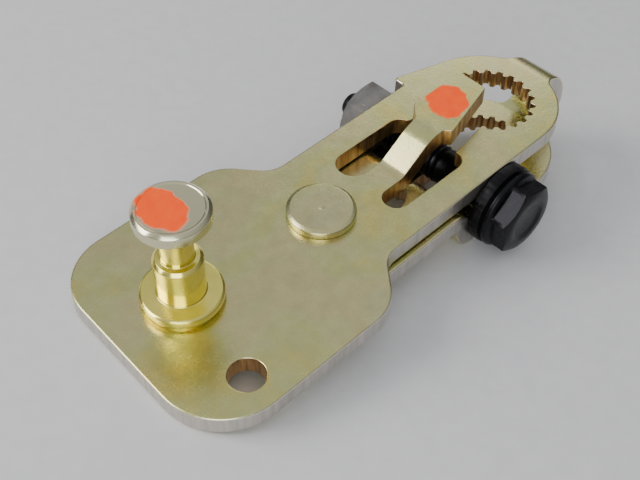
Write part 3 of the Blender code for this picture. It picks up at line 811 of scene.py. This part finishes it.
# ---------------------------------------------------------------------------------------------
# The pinch nut. A plain M5 steel nut, chamfered on both faces and plated dull grey, which the
# lug on the plate keeps from turning while the bolt is done up.
# ---------------------------------------------------------------------------------------------
nut = bmesh.new()
NUT_THICK = 3.7
NUT_NEAR = ARM_HALF + 0.12
NUT_FAR = ARM_HALF + FIT + NUT_THICK
NUT_FACE = 4.05
NUT_BORE = 2.43
NUT_MOUTH = 2.75
MOUTH_DEPTH = 0.3
stacked(nut, [(NUT_NEAR, NUT_MOUTH), (NUT_NEAR, 3.9), (NUT_NEAR, "hex", NUT_FACE, 1),
              (NUT_FAR, "hex", NUT_FACE, -1), (NUT_FAR, 3.9), (NUT_FAR, NUT_MOUTH),
              (NUT_FAR - MOUTH_DEPTH, NUT_BORE), (NUT_NEAR + MOUTH_DEPTH, NUT_BORE),
              (NUT_NEAR, NUT_MOUTH)], corner_angle=math.radians(72))
grey = bpy.data.materials.new("nut_grey")
grey.use_nodes = True
tree = grey.node_tree
shader = tree.nodes["Principled BSDF"]
shader.inputs["Metallic"].default_value = 0.9
place = wire(tree, "TexCoord").outputs["Object"]
dull = speckle(tree, place, 300.0, 6.0, 0.65)
fine = speckle(tree, place, 2200.0, 4.0, 0.6)
nick = spread(tree, speckle(tree, place, 700.0, 2.0), 0.68, 0.74)
colour = ramp(tree, dull, [(0.3, (0.15, 0.14, 0.13)), (0.55, (0.25, 0.24, 0.23)), (0.75, (0.31, 0.28, 0.24))])
colour = mixed(tree, sums(tree, "MULTIPLY", nick, 0.7), colour, (0.70, 0.68, 0.64))
tree.links.new(colour, shader.inputs["Base Color"])
tree.links.new(spread(tree, dull, 0.3, 0.7, 0.40, 0.58), shader.inputs["Roughness"])
relief = wire(tree, "Bump", {"Height": fine, "Strength": 0.5, "Distance": 0.00003})
tree.links.new(relief.outputs["Normal"], shader.inputs["Normal"])
finished("nut", nut, "pinch_nut", "lever", grey)


# ---------------------------------------------------------------------------------------------
# The stage. The lever lies as it does on a bench, on the end of its base and the bend of its
# lower leaf, so the pale floor slopes in the lever's own frame.
# ---------------------------------------------------------------------------------------------
SUNK = 0.02
rest_high = at_lever(BASE_NEAR_X, 0, -SHEET + SUNK)
rest_low = at_lever(JOGGLE_X - 0.5, 0, -2 * SHEET - LEAF_GAP + SUNK)
slope = math.atan2(rest_high.z - rest_low.z, rest_low.x - rest_high.x)
ground = bmesh.new()
bmesh.ops.create_grid(ground, x_segments=1, y_segments=1, size=1.5)
bmesh.ops.rotate(ground, verts=ground.verts[:], cent=(0, 0, 0), matrix=Matrix.Rotation(slope, 3, "Y"))
bmesh.ops.translate(ground, verts=ground.verts[:], vec=(rest_low + rest_high) / 2)
floor_mesh = bpy.data.meshes.new("floor")
ground.to_mesh(floor_mesh)
ground.free()
floor = bpy.data.objects.new("floor", floor_mesh)
bpy.context.scene.collection.objects.link(floor)
pale = bpy.data.materials.new("pale_floor")
pale.use_nodes = True
tree = pale.node_tree
shader = tree.nodes["Principled BSDF"]
grain = speckle(tree, wire(tree, "TexCoord").outputs["Object"], 500.0)
colour = ramp(tree, grain, [(0.3, (0.70, 0.70, 0.71)), (0.7, (0.74, 0.74, 0.75))])
tree.links.new(colour, shader.inputs["Base Color"])
shader.inputs["Roughness"].default_value = 0.9
floor_mesh.materials.append(pale)

# A soft studio: a shell that is lighter overhead, and three softboxes.
world = bpy.data.worlds.new("studio")
bpy.context.scene.world = world
world.use_nodes = True
heavens = world.node_tree
height = wire(heavens, "SeparateXYZ", {0: wire(heavens, "TexCoord").outputs["Generated"]}).outputs["Z"]
shell = ramp(heavens, height, [(0.0, (0.13, 0.13, 0.14)), (0.25, (0.18, 0.18, 0.20)),
                               (0.55, (0.52, 0.53, 0.55)), (0.85, (0.86, 0.87, 0.89))])
heavens.links.new(shell, heavens.nodes["Background"].inputs["Color"])
heavens.nodes["Background"].inputs["Strength"].default_value = 0.78


def softbox(name, place, width, depth, watts, tone):
    """A rectangular area light at a place, aimed at the middle of the part."""
    light = bpy.data.lights.new(name, "AREA")
    light.shape = "RECTANGLE"
    light.size = width
    light.size_y = depth
    light.energy = watts
    light.color = tone
    lamp = bpy.data.objects.new(name, light)
    bpy.context.scene.collection.objects.link(lamp)
    lamp.location = place
    lamp.rotation_euler = (-Vector(place)).to_track_quat("-Z", "Y").to_euler()


WARM = (1.0, 0.98, 0.95)
COOL = (0.94, 0.96, 1.0)
softbox("window", (-0.30, 0.24, 0.30), width=0.30, depth=0.24, watts=1.6, tone=WARM)
softbox("fill", (-0.30, -0.24, 0.22), width=0.26, depth=0.26, watts=0.9, tone=COOL)
softbox("back", (0.34, 0.26, 0.20), width=0.20, depth=0.20, watts=0.2, tone=WARM)


# ---------------------------------------------------------------------------------------------
# The camera, looking down along the lever from the stud's end and the bolt head's side, through
# a lens a little longer than normal.
# ---------------------------------------------------------------------------------------------
FOCAL_MM = 59.06
SENSOR_MM = 36.0
camera_place = at_lever(-57.59, -56.97, 85.92)
lens = bpy.data.cameras.new("camera")
lens.lens = FOCAL_MM
lens.sensor_width = SENSOR_MM
lens.clip_start = 0.005
lens.clip_end = 5.0
camera = bpy.data.objects.new("camera", lens)
bpy.context.scene.collection.objects.link(camera)
forward = Vector((0.4734, 0.4718, -0.7439)).normalized()
right = Vector((0.7141, -0.6999, 0.0106))
right = (right - forward * right.dot(forward)).normalized()
up = right.cross(forward)
aim = Matrix((right, up, -forward)).transposed().to_4x4()
camera.matrix_world = Matrix.Translation(camera_place) @ aim
bpy.context.scene.camera = camera
